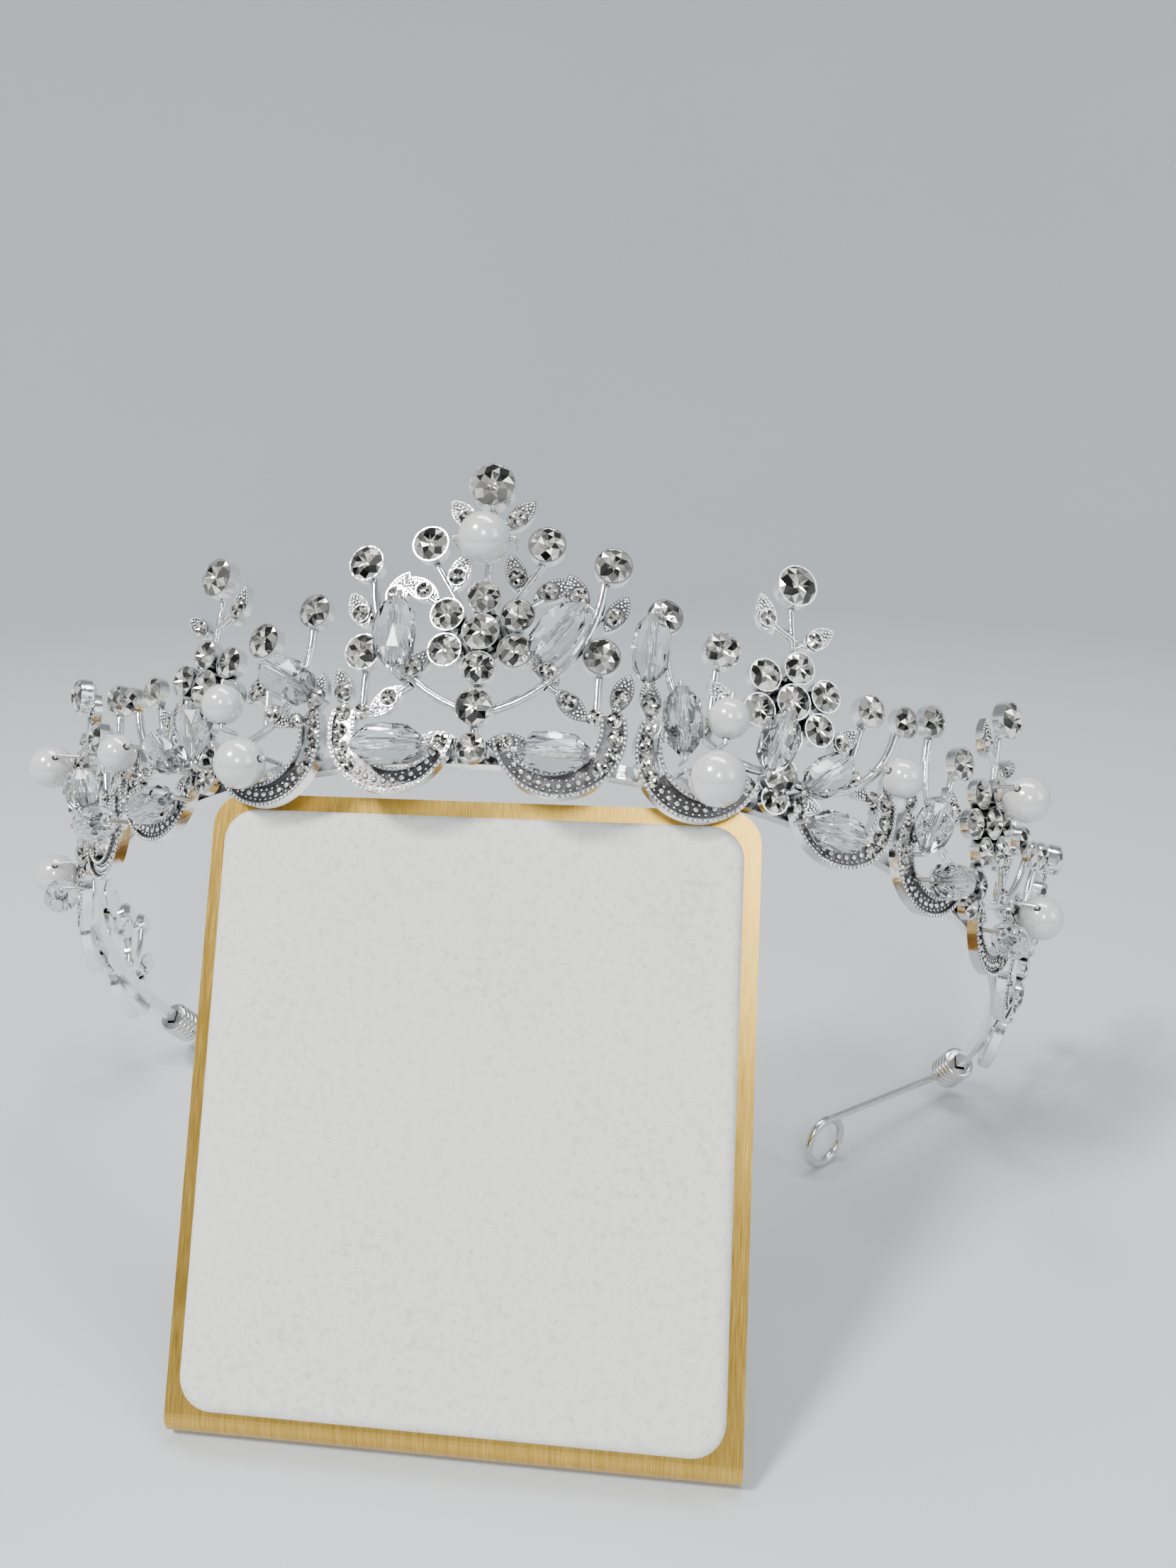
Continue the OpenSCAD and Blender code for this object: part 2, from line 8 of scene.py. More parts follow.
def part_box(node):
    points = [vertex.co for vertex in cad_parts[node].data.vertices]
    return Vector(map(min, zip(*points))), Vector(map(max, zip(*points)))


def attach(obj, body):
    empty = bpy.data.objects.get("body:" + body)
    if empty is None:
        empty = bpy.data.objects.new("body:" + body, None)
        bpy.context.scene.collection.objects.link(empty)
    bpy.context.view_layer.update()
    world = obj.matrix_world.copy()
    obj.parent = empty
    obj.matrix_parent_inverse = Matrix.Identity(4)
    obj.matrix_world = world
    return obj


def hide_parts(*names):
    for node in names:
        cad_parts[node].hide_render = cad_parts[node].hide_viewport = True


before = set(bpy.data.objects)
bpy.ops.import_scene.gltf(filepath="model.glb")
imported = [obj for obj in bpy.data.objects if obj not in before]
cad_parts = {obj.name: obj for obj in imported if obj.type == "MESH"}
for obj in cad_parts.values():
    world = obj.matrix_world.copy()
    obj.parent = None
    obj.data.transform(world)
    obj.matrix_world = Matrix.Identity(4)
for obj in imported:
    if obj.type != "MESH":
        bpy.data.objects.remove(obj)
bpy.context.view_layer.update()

# Camera: a little right of the middle and above the diadem, looking slightly down
# onto the front of the stand. Where it stands and how it turns follow the panel's corners and the
# castings' joints in the photograph of 1659 by 2212 pixels.
CAMERA_PLACE = Vector((0.0313, -0.1587, 0.1249))
CAMERA_AZIMUTH, CAMERA_DROP, CAMERA_ROLL = math.radians(7.0), math.radians(18.4), math.radians(-0.3)
LONG_SIDE_MM, LONG_SIDE_PIXELS, FOCAL_PIXELS = 36.0, 2212, 1717
CLIP_NEAR, CLIP_FAR = 0.005, 20
camera_data = bpy.data.cameras.new("camera")
camera_data.sensor_fit = "VERTICAL"
camera_data.sensor_width = camera_data.sensor_height = LONG_SIDE_MM
camera_data.lens = FOCAL_PIXELS / LONG_SIDE_PIXELS * LONG_SIDE_MM
camera_data.clip_start, camera_data.clip_end = CLIP_NEAR, CLIP_FAR
camera = bpy.data.objects.new("camera", camera_data)
bpy.context.collection.objects.link(camera)
turn = (Matrix.Rotation(CAMERA_AZIMUTH, 4, "Z") @ Matrix.Rotation(math.pi / 2 - CAMERA_DROP, 4, "X")
        @ Matrix.Rotation(CAMERA_ROLL, 4, "Z"))
camera.matrix_world = Matrix.Translation(CAMERA_PLACE) @ turn
bpy.context.scene.camera = camera


class Shade:
    """A socket in one material's nodes, so that shader maths reads as plain expressions."""

    def __init__(self, tree, socket=None):
        self.tree, self.socket = tree, socket

    def node(self, kind, settings, inputs, output=0):
        made = self.tree.nodes.new(kind)
        for name, value in settings.items():
            if name == "stops":
                ramp = made.color_ramp.elements
                while len(ramp) < len(value):
                    ramp.new(1)
                for stop, (place, colour) in zip(ramp, value):
                    stop.position, stop.color = place, (*colour, 1)
            else:
                setattr(made, name, value)
        for name, value in inputs.items():
            if isinstance(value, Shade):
                self.tree.links.new(value.socket, made.inputs[name])
            else:
                made.inputs[name].default_value = value
        return Shade(self.tree, made.outputs[output])

    def maths(self, operation, left, right):
        return self.node("ShaderNodeMath", {"operation": operation}, {0: left, 1: right})

    def __add__(self, other):
        return self.maths("ADD", self, other)

    def __radd__(self, other):
        return self.maths("ADD", other, self)

    def __mul__(self, other):
        return self.maths("MULTIPLY", self, other)

    def __rmul__(self, other):
        return self.maths("MULTIPLY", other, self)

    def noise(self, place, scale, detail=2.0):
        return self.node("ShaderNodeTexNoise", {}, {"Vector": place, "Scale": scale, "Detail": detail})

    def mixed(self, share, dark, light):
        mix = self.tree.nodes.new("ShaderNodeMix")
        mix.data_type = "RGBA"
        self.tree.links.new(share.socket, mix.inputs["Factor"])
        for name, value in (("A", dark), ("B", light)):
            socket = [s for s in mix.inputs if s.name == name and s.type == "RGBA"][0]
            if isinstance(value, Shade):
                self.tree.links.new(value.socket, socket)
            else:
                socket.default_value = (*value, 1)
        return Shade(self.tree, [s for s in mix.outputs if s.type == "RGBA"][0])


def finish_material(name, settings, surface):
    """A material whose plain sockets hold settings and whose surface(shade, place) gives the varying ones."""
    material = bpy.data.materials.new(name)
    material.use_nodes = True
    tree = material.node_tree
    shader = tree.nodes["Principled BSDF"]
    for socket, value in settings.items():
        shader.inputs[socket].default_value = value
    shade = Shade(tree)
    place = shade.node("ShaderNodeTexCoord", {}, {}, "Object")
    for socket, value in surface(shade, place).items():
        tree.links.new(value.socket, shader.inputs[socket])
    return material


def bumped(shade, height, strength, depth):
    return shade.node("ShaderNodeBump", {}, {"Height": height, "Strength": strength, "Distance": depth})


# Floor and walls: one pale painted sweep, flat under the stand and curving up into a wall all
# round, so that every side of the thing stands before the same plain grey-blue.
FLOOR_RADIUS, WALL_RADIUS, WALL_HEIGHT = 0.55, 0.95, 0.75
FLOOR_STEPS, CURVE_STEPS = 96, 16
FLOOR_RINGS = (0.05, 0.25, FLOOR_RADIUS)
PAINT_DARK, PAINT_LIGHT, PAINT_CLOUD = (0.48, 0.51, 0.535), (0.53, 0.555, 0.58), 3.0


def sweep_surface(shade, place):
    return {"Base Color": shade.mixed(shade.noise(place, PAINT_CLOUD), PAINT_DARK, PAINT_LIGHT)}


bend = WALL_RADIUS - FLOOR_RADIUS
profile = [(r, 0.0) for r in FLOOR_RINGS]
profile += [(FLOOR_RADIUS + bend * math.sin(math.pi / 2 * i / CURVE_STEPS),
             bend - bend * math.cos(math.pi / 2 * i / CURVE_STEPS)) for i in range(1, CURVE_STEPS + 1)]
profile.append((WALL_RADIUS, WALL_HEIGHT))
sweep_mesh = bmesh.new()
rings = [[sweep_mesh.verts.new((r * math.cos(2 * math.pi * i / FLOOR_STEPS),
                                r * math.sin(2 * math.pi * i / FLOOR_STEPS), z))
          for i in range(FLOOR_STEPS)] for r, z in profile]
sweep_mesh.faces.new(rings[0])
for inner, outer in zip(rings, rings[1:]):
    for i in range(FLOOR_STEPS):
        j = (i + 1) % FLOOR_STEPS
        sweep_mesh.faces.new((inner[i], outer[i], outer[j], inner[j]))


def placed_mesh(name, mesh, materials, smooth=True):
    """Turns a bmesh into an object with these materials."""
    data = bpy.data.meshes.new(name)
    mesh.to_mesh(data)
    mesh.free()
    for material in materials:
        data.materials.append(material)
    for face in data.polygons:
        face.use_smooth = smooth
    thing = bpy.data.objects.new(name, data)
    bpy.context.collection.objects.link(thing)
    return thing


sweep_paint = finish_material("sweep_paint", {"Roughness": 0.6, "Specular IOR Level": 0.3}, sweep_surface)
placed_mesh("floor", sweep_mesh, [sweep_paint])

# Light: a softbox high on the left of the camera throws the shadows to the right and back. A small
# window in front and a fill on the right lift the dark side, and a strip overhead draws the bright
# edges of the metal.
LAMPS = {
    "key": {"place": (-0.38, -0.40, 0.74), "size": (0.16, 0.16), "watts": 10.5, "colour": (1.0, 0.985, 0.96)},
    "window": {"place": (0.10, -0.62, 0.46), "size": (0.12, 0.16), "watts": 2.6, "colour": (0.95, 0.98, 1.0)},
    "fill": {"place": (0.62, -0.30, 0.40), "size": (0.30, 0.40), "watts": 1.4, "colour": (0.93, 0.97, 1.0)},
    "overhead": {"place": (0.05, 0.12, 0.75), "size": (0.60, 0.16), "watts": 4.0, "colour": (1.0, 1.0, 1.0)},
}
AIM = Vector((0.0, 0.0, 0.06))
ROOM_COLOUR, ROOM_STRENGTH = (0.55, 0.58, 0.62), 0.42
for name, lamp in LAMPS.items():
    lamp_data = bpy.data.lights.new(name, "AREA")
    lamp_data.shape = "RECTANGLE"
    lamp_data.size, lamp_data.size_y = lamp["size"]
    lamp_data.energy, lamp_data.color = lamp["watts"], lamp["colour"]
    light = bpy.data.objects.new(name, lamp_data)
    light.location = lamp["place"]
    light.rotation_mode = "QUATERNION"
    light.rotation_quaternion = (AIM - light.location).to_track_quat("-Z", "Y")
    bpy.context.collection.objects.link(light)
room = bpy.data.worlds.new("room")
room.use_nodes = True
room.node_tree.nodes["Background"].inputs["Color"].default_value = (*ROOM_COLOUR, 1)
room.node_tree.nodes["Background"].inputs["Strength"].default_value = ROOM_STRENGTH
bpy.context.scene.world = room

# Flags: two curved black cards in front of the thing, seen only in its reflections, where they draw
# the dark lines along polished metal that a plain pale room leaves out.
FLAG_RADIUS, FLAG_FACING, FLAG_SPAN, FLAG_STEPS = 0.5, -90, 75, 24
FLAG_HEIGHTS = [(0.03, 0.11), (0.37, 0.41)]
CLOTH_DARK, CLOTH_LIGHT, CLOTH_GRAIN = (0.01, 0.01, 0.01), (0.03, 0.03, 0.035), 20.0


def flag_surface(shade, place):
    return {"Base Color": shade.mixed(shade.noise(place, CLOTH_GRAIN), CLOTH_DARK, CLOTH_LIGHT)}


black_cloth = finish_material("black_cloth", {"Roughness": 0.9}, flag_surface)
for number, (low, high) in enumerate(FLAG_HEIGHTS):
    card = bmesh.new()
    columns = []
    for i in range(FLAG_STEPS + 1):
        angle = math.radians(FLAG_FACING - FLAG_SPAN + 2 * FLAG_SPAN * i / FLAG_STEPS)
        columns.append([card.verts.new((FLAG_RADIUS * math.cos(angle), FLAG_RADIUS * math.sin(angle), z))
                        for z in (low, high)])
    for (a, b), (c, d) in zip(columns, columns[1:]):
        card.faces.new((a, c, d, b))
    flag = placed_mesh("flag_%d" % (number + 1), card, [black_cloth])
    flag.visible_camera = flag.visible_shadow = flag.visible_diffuse = flag.visible_transmission = False

# Stand: one sheet of gold-coloured metal, cut with round corners and folded once into a panel that
# leans back and a foot that runs back flat under it. The brush marks run up the panel, close
# together across its width.
BRUSH_ACROSS, BRUSH_ALONG, WEAR_SCALE = 9000.0, 260.0, 60.0
BRUSH_SHARE, WEAR_SHARE, BRUSH_RAMP = 0.8, 0.2, (0.25, 0.75)
GOLD_DARK, GOLD_LIGHT = (0.42, 0.24, 0.035), (0.80, 0.52, 0.12)
GOLD_POLISH, GOLD_SCRATCH, BRUSH_BUMP, BRUSH_DEPTH = 0.24, 0.22, 0.25, 0.00004
BLACK, WHITE = (0, 0, 0), (1, 1, 1)


def dress(node, material):
    """Gives a piece of the frame its finish."""
    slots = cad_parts[node].data.materials
    slots.clear()
    slots.append(material)


def brushed_surface(shade, place):
    strokes = (BRUSH_ACROSS, BRUSH_ALONG, BRUSH_ALONG)
    drawn = shade.node("ShaderNodeMapping", {}, {"Vector": place, "Scale": strokes})
    fine = shade.noise(drawn, 1.0)
    worn = shade.noise(place, WEAR_SCALE)
    lines = shade.node("ShaderNodeValToRGB", {"stops": [(BRUSH_RAMP[0], BLACK), (BRUSH_RAMP[1], WHITE)]},
                       {"Fac": fine * BRUSH_SHARE + worn * WEAR_SHARE})
    return {
        "Base Color": shade.mixed(lines, GOLD_DARK, GOLD_LIGHT),
        "Roughness": GOLD_POLISH + fine * GOLD_SCRATCH,
        "Normal": bumped(shade, fine, BRUSH_BUMP, BRUSH_DEPTH),
    }


brushed_gold = finish_material("brushed_gold", {"Metallic": 1.0}, brushed_surface)
dress("stand_plate", brushed_gold)

# Velvet pad: card covered in off-white short-pile velvet, its edges turned over and the face
# slightly crowned by the wadding under it, glued to the front of the panel.
PANEL_LEAN = math.radians(25.5)
PAD_WIDTH, PAD_THICK, PAD_CORNER = 0.0668, 0.0022, 0.0042
PAD_EDGE, PAD_STRAIGHT_SHARE, PAD_CROWN, PAD_CROWN_REACH = 0.0013, 0.45, 0.0002, 0.02
PAD_LIGHT, PAD_DARK, PAD_RAMP = (0.70, 0.69, 0.645), (0.50, 0.49, 0.455), (0.34, 0.50)
PILE_SCALE, STROKE_SCALE, CLOUD_SCALE = 5200.0, 1100.0, 45.0
PILE_SHARE, STROKE_SHARE, CLOUD_SHARE = 0.4, 0.48, 0.12
STROKE_HEIGHT, PILE_BUMP, PILE_DEPTH = 0.6, 0.55, 0.00012
INSETS = [0.0, 0.0001, 0.0003, 0.0006, 0.001, 0.0014, 0.002, 0.003, 0.0045, 0.007,
          0.011, 0.016, 0.022, 0.028, 0.033]
LEAST_CORNER = 0.00005


def rounded_outline(half_wide, half_high, corner, steps=8):
    corner = max(corner, LEAST_CORNER)
    points = []
    for quarter, (sx, sy) in enumerate(((1, 1), (-1, 1), (-1, -1), (1, -1))):
        for i in range(steps + 1):
            angle = math.pi / 2 * (quarter + i / steps)
            points.append((sx * (half_wide - corner) + corner * math.cos(angle),
                           sy * (half_high - corner) + corner * math.sin(angle)))
    return points


def velvet_surface(shade, place):
    pile = shade.noise(place, PILE_SCALE, 3.0)
    stroked = shade.noise(place, STROKE_SCALE, 4.0)
    cloud = shade.noise(place, CLOUD_SCALE, 2.0)
    tone = pile * PILE_SHARE + stroked * STROKE_SHARE + cloud * CLOUD_SHARE
    stops = [(PAD_RAMP[0], PAD_DARK), (PAD_RAMP[1], PAD_LIGHT)]
    shown = shade.node("ShaderNodeValToRGB", {"stops": stops}, {"Fac": tone})
    height = pile + stroked * STROKE_HEIGHT
    return {"Base Color": shown, "Normal": bumped(shade, height, PILE_BUMP, PILE_DEPTH)}


pad_low, pad_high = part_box("velvet_pad")
up_slope = Vector((0, math.sin(PANEL_LEAN), math.cos(PANEL_LEAN)))
out_of_panel = Vector((0, -math.cos(PANEL_LEAN), math.sin(PANEL_LEAN)))
pad_middle = (Vector(pad_low) + Vector(pad_high)) / 2
pad_half_high = ((pad_high[2] - pad_low[2]) - PAD_THICK * math.sin(PANEL_LEAN)) / math.cos(PANEL_LEAN) / 2
pad_mesh = bmesh.new()
pad_rings = []
for inset in [0.0] + INSETS:
    rounding = min(inset / PAD_EDGE, 1)
    rolled = (1 - PAD_STRAIGHT_SHARE) * math.sqrt(1 - (1 - rounding) ** 2)
    rise = PAD_THICK * (PAD_STRAIGHT_SHARE + rolled) - PAD_CROWN
    rise += PAD_CROWN * math.sqrt(min(inset / PAD_CROWN_REACH, 1))
    if not pad_rings:
        rise = 0.0
    ring = rounded_outline(PAD_WIDTH / 2 - inset, pad_half_high - inset, PAD_CORNER - inset)
    pad_rings.append([pad_mesh.verts.new(pad_middle + Vector((x, 0, 0)) + up_slope * y
                                         + out_of_panel * (rise - PAD_THICK / 2)) for x, y in ring])
for inner, outer in zip(pad_rings[1:], pad_rings):
    for i in range(len(inner)):
        j = (i + 1) % len(inner)
        pad_mesh.faces.new((outer[i], outer[j], inner[j], inner[i]))
pad_mesh.faces.new(pad_rings[-1])
pad_mesh.faces.new(list(reversed(pad_rings[0])))
velvet = finish_material("velvet", {"Roughness": 0.95, "Sheen Weight": 0.35, "Sheen Roughness": 0.5,
                                    "Specular IOR Level": 0.15}, velvet_surface)
pad = placed_mesh("pad_cover", pad_mesh, [velvet])
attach(pad, "root")
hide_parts("velvet_pad")

# Headband and castings: white metal cast in openwork pieces, soldered side by side to a flat band and
# silver-plated bright, with painted shade turning the plate dark grey in the channels and behind the stones,
# wherever ambient occlusion finds a recess.
SILVER, SILVER_PAINTED_SHADE = (0.97, 0.97, 0.965), (0.16, 0.155, 0.155)
SHADE_REACH, SHADE_RAMP, SKIN_SCALE = 0.0011, (0.35, 0.85), 1300.0
SILVER_POLISH, SILVER_DULL, SKIN_BUMP, SKIN_DEPTH = 0.07, 0.14, 0.45, 0.00010


def silver_surface(shade, place):
    # painted shade: the plate goes dark grey where ambient occlusion finds metal close by
    occlusion = shade.node("ShaderNodeAmbientOcclusion", {"samples": 6}, {"Distance": SHADE_REACH}, "AO")
    stops = [(SHADE_RAMP[0], BLACK), (SHADE_RAMP[1], WHITE)]
    unshaded_share = shade.node("ShaderNodeValToRGB", {"stops": stops}, {"Fac": occlusion})
    cast_skin = shade.noise(place, SKIN_SCALE, 3.0)
    return {
        "Base Color": shade.mixed(unshaded_share, SILVER_PAINTED_SHADE, SILVER),
        "Roughness": SILVER_POLISH + cast_skin * SILVER_DULL,
        "Normal": bumped(shade, cast_skin, SKIN_BUMP, SKIN_DEPTH),
    }


silver = finish_material("silver_plate", {"Metallic": 1.0}, silver_surface)
SIDES, RANKS = ("right", "left"), (1, 2, 3)
places = ["middle"] + ["%s_%d" % (side, rank) for side in SIDES for rank in RANKS]
dress("headband", silver)
for place_name in places:
    dress("casting_" + place_name, silver)

# Milgrain: rows of fine beads running along both rims of every scallop, two rows of smaller ones
# beside the main row in the channel, and grains on the edges and tips of the leaves. All are cast
# with the piece and left bright.
BAND_RADIUS, FLARE, PITCH = 0.076, math.radians(18.5), 0.0187
HANG_TILT, HANG_Y, HANG_Z = math.radians(51.749), 0.02763, 0.02092
SCALLOP_X, SCALLOP_UP, SCALLOP_RADIUS = 0.01025, 0.0041, 0.0083
OPENING_X, OPENING_UP, OPENING_RADIUS = 0.00925, 0.00485, 0.0059
CAST_THICK, RIM_RISE = 0.0011, 0.00035
GRAIN, GRAIN_STEP = 0.00050, 0.00062
CHANNEL_GRAIN, CHANNEL_GRAIN_STEP, OUTER_ROW_IN, INNER_ROW_IN = 0.00045, 0.00078, 0.00092, 0.0022
GRAIN_SIDES, GRAIN_SHOULDER, GRAIN_SHOULDER_RISE = 8, 0.36, 0.35
hanging = Matrix.Translation((0, HANG_Y, HANG_Z)) @ Matrix.Rotation(-HANG_TILT, 4, "X")


def casting_place(name):
    """Where a casting's own middle is, as a matrix from the middle casting's frame."""
    if name == "middle":
        return hanging
    side, rank = name.split("_")
    mirrored = Matrix.Scale(-1, 4, (1, 0, 0)) if side == "left" else Matrix.Identity(4)
    return hanging @ mirrored @ Matrix.Rotation(2 * int(rank) * PITCH / BAND_RADIUS, 4, "Z")


def face_at(arc):
    """The flared face at an arc length: X along the band, -Y out of the face, Z up it."""
    return (Matrix.Rotation(arc / BAND_RADIUS, 4, "Z") @ Matrix.Translation((0, -BAND_RADIUS, 0))
            @ Matrix.Rotation(FLARE, 4, "X"))


def scallop_face(hand):
    """The flat face of one scallop, with X measured from the casting's middle outward."""
    face = face_at(PITCH / 2) @ Matrix.Translation((-PITCH / 2, 0, 0))
    return Matrix.Scale(hand, 4, (1, 0, 0)) @ face if hand < 0 else face


def add_grain(mesh, place, size):
    """One half-sunk bead of eight sides: a ring at its foot, a narrower one above and a tip."""
    out = (place.to_3x3() @ Vector((0, -1, 0))).normalized()
    side = (place.to_3x3() @ Vector((1, 0, 0))).normalized()
    up = out.cross(side)
    middle = place.translation
    turn = 2 * math.pi / GRAIN_SIDES
    low = []
    for a in [turn * i for i in range(GRAIN_SIDES)]:
        low.append(mesh.verts.new(middle + (side * math.cos(a) + up * math.sin(a)) * size / 2))
    high = []
    for a in [turn * (i + 0.5) for i in range(GRAIN_SIDES)]:
        shoulder = (side * math.cos(a) + up * math.sin(a)) * size * GRAIN_SHOULDER
        high.append(mesh.verts.new(middle + shoulder + out * size * GRAIN_SHOULDER_RISE))
    tip = mesh.verts.new(middle + out * size / 2)
    for i in range(GRAIN_SIDES):
        j = (i + 1) % GRAIN_SIDES
        mesh.faces.new((low[i], low[j], high[i]))
        mesh.faces.new((low[j], high[j], high[i]))
        mesh.faces.new((high[i], high[j], tip))
    mesh.faces.new(list(reversed(low)))


def arc_of_grains(mesh, frame_of_face, centre, radius, first, last, step, size, out):
    count = int(radius * math.radians(last - first) / step)
    for i in range(count + 1):
        angle = math.radians(first + (last - first) * i / count)
        x, z = centre[0] + radius * math.cos(angle), centre[1] + radius * math.sin(angle)
        add_grain(mesh, frame_of_face @ Matrix.Translation((x, -out, z)), size)


# Leaf buds: across in pitches, up as a share of the crest, and the leaf's turn in degrees
MIDDLE_BUDS = [(0.185, 0.665, -20), (0.385, 0.618, 60), (0.15, 0.89, 40), (0.80, 0.55, 25),
               (0.575, 0.61, -30), (0.43, 0.33, -45), (0.575, 0.225, 130), (0.9, 0.262, 15)]
SIDE_BUDS = [(-0.25, 0.83, -25), (0.09, 0.80, 45), (-0.43, 0.40, -45), (0.43, 0.40, 40), (-0.575, 0.27, -130),
             (0.575, 0.27, 130), (-0.9, 0.31, -15), (0.9, 0.31, 15)]
CREST, SIDE_CREST = 0.036, 0.0296
JOINT_LEAF = (0.2, 0.06, 90)
BUD_CUP, LEAF_ARC, LEAF_SPREAD, LEAF_MIDDLE = 0.0025, 0.003625, 0.00225, 0.00062
LEAF_EDGE_SHARE, LEAF_EDGE_GRAINS, LEAF_GRAIN, CUP_CLEARANCE = 0.93, 14, 0.00036, GRAIN * 0.3
# Grains on a leaf's tips: across and up from the middle of its cup, in millimetres
TIP_GRAINS = [(-0.45, 1.55), (0.45, 1.55), (0, 1.75), (-0.28, 2.15), (0.28, 2.15),
              (0, 2.6), (0, 3.0), (0, -1.6)]
TIP_GRAIN, MM_PER_METRE = 0.00052, 1000


def leaf_rim(mesh, bud):
    """Grains along both curved edges of one leaf."""
    reach = math.acos(LEAF_SPREAD / LEAF_ARC) * LEAF_EDGE_SHARE
    for side in (1, -1):
        for i in range(LEAF_EDGE_GRAINS + 1):
            angle = reach * (2 * i / LEAF_EDGE_GRAINS - 1)
            x = side * ((LEAF_ARC - GRAIN / 2) * math.cos(angle) - LEAF_SPREAD)
            z = LEAF_MIDDLE + (LEAF_ARC - GRAIN / 2) * math.sin(angle)
            if math.hypot(x, z) > BUD_CUP / 2 + CUP_CLEARANCE:
                add_grain(mesh, bud @ Matrix.Translation((x, -CAST_THICK, z)), LEAF_GRAIN)


SCALLOP, OPENING, RIM = (SCALLOP_X, SCALLOP_UP), (OPENING_X, OPENING_UP), CAST_THICK + RIM_RISE
# Rows of grains: centre, radius, first and last angle in degrees, step, size and height of each row
GRAIN_ROWS = [
    (SCALLOP, SCALLOP_RADIUS - GRAIN / 2, 193, 378, GRAIN_STEP, GRAIN, RIM),
    (OPENING, OPENING_RADIUS + GRAIN / 2, 205, 377, GRAIN_STEP, GRAIN, RIM),
    (SCALLOP, SCALLOP_RADIUS - OUTER_ROW_IN, 222, 312, CHANNEL_GRAIN_STEP, CHANNEL_GRAIN, CAST_THICK),
    (SCALLOP, SCALLOP_RADIUS - INNER_ROW_IN, 236, 308, CHANNEL_GRAIN_STEP, CHANNEL_GRAIN, CAST_THICK),
]
for place_name in places:
    casting = casting_place(place_name)
    grains = bmesh.new()
    for hand in (1, -1):
        face = casting @ scallop_face(hand)
        for row in GRAIN_ROWS:
            arc_of_grains(grains, face, *row)
    crest = CREST if place_name == "middle" else SIDE_CREST
    buds = SIDE_BUDS
    if place_name == "middle":
        buds = MIDDLE_BUDS + [(-across, up, -leaf) for across, up, leaf in MIDDLE_BUDS]
    buds = [(across * PITCH, up * crest, leaf) for across, up, leaf in buds]
    buds += [(hand * JOINT_LEAF[0] * PITCH, JOINT_LEAF[1] * CREST, hand * JOINT_LEAF[2]) for hand in (1, -1)]
    for across, up, leaf in buds:
        bud = (casting @ face_at(across) @ Matrix.Translation((0, 0, up))
               @ Matrix.Rotation(math.radians(leaf), 4, "Y"))
        leaf_rim(grains, bud)
        for x, z in TIP_GRAINS:
            tip_place = Matrix.Translation((x / MM_PER_METRE, -CAST_THICK, z / MM_PER_METRE))
            add_grain(grains, bud @ tip_place, TIP_GRAIN)
    milgrain = placed_mesh("milgrain_" + place_name, grains, [silver])
    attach(milgrain, "root")

# Channel floors: a thin sheet of dark metal a few hundredths of a millimetre over the sunk ground between a
# scallop's rims, under the bead rows, whose near-black colour is a painted dark reflection of the
# surroundings.
CHANNEL_SKIN, CHANNEL_INSET, CHANNEL_STEPS = 0.00003, 0.00052, 40
CHANNEL_FIRST, CHANNEL_LAST = 207, 320
REFLECTION_DARK, REFLECTION_LIGHT, REFLECTION_MOTTLE_SCALE = (0.05, 0.045, 0.045), (0.22, 0.21, 0.21), 800.0
CHANNEL_POLISH, CHANNEL_DULL = 0.12, 0.2


def channel_surface(shade, place):
    # painted dark reflection: a mottled near-black stands in for the dark surroundings mirrored in the
    # channel
    reflection_mottle = shade.noise(place, REFLECTION_MOTTLE_SCALE, 3.0)
    return {
        "Base Color": shade.mixed(reflection_mottle, REFLECTION_DARK, REFLECTION_LIGHT),
        "Roughness": CHANNEL_POLISH + reflection_mottle * CHANNEL_DULL,
    }


channel_reflection_finish = finish_material("silver_painted_reflection", {"Metallic": 1.0}, channel_surface)
for place_name in places:
    casting = casting_place(place_name)
    ground = bmesh.new()
    for hand in (1, -1):
        face = casting @ scallop_face(hand)
        edges = []
        for i in range(CHANNEL_STEPS + 1):
            angle = math.radians(CHANNEL_FIRST + (CHANNEL_LAST - CHANNEL_FIRST) * i / CHANNEL_STEPS)
            toward = Vector((math.cos(angle), math.sin(angle)))
            gap = Vector((SCALLOP_X - OPENING_X, SCALLOP_UP - OPENING_UP))
            inner_radius = OPENING_RADIUS + CHANNEL_INSET
            along = toward.dot(gap)
            inner = -along + math.sqrt(along * along - gap.length_squared + inner_radius * inner_radius)
            outer = SCALLOP_RADIUS - CHANNEL_INSET
            if inner < outer:
                ends = [(SCALLOP_X + toward.x * r, -CAST_THICK - CHANNEL_SKIN, SCALLOP_UP + toward.y * r)
                        for r in (inner, outer)]
                edges.append([ground.verts.new(face @ Vector(end)) for end in ends])
        for (a, b), (c, d) in zip(edges, edges[1:]):
            ground.faces.new((a, c, d, b) if hand > 0 else (a, b, d, c))
    channels = placed_mesh("channel_ground_" + place_name, ground, [channel_reflection_finish])
    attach(channels, "root")

# Cut stones: clear lead glass, round, with a table, a crown of eight mains and a foiled back, set loose in
# the cups and held by the rims. Each facet is coloured with a painted reflection, a warm grey drawn at random
# from light to dark, and the facets seen through the table are part of each one.
TABLE, CROWN_MID, CROWN_RISE, HEART, HEART_DEPTH, CULET = 0.50, 0.80, 0.30, 0.20, 0.10, 0.60
CROWN_MID_RISE, HEART_RISE = 0.19, 0.12
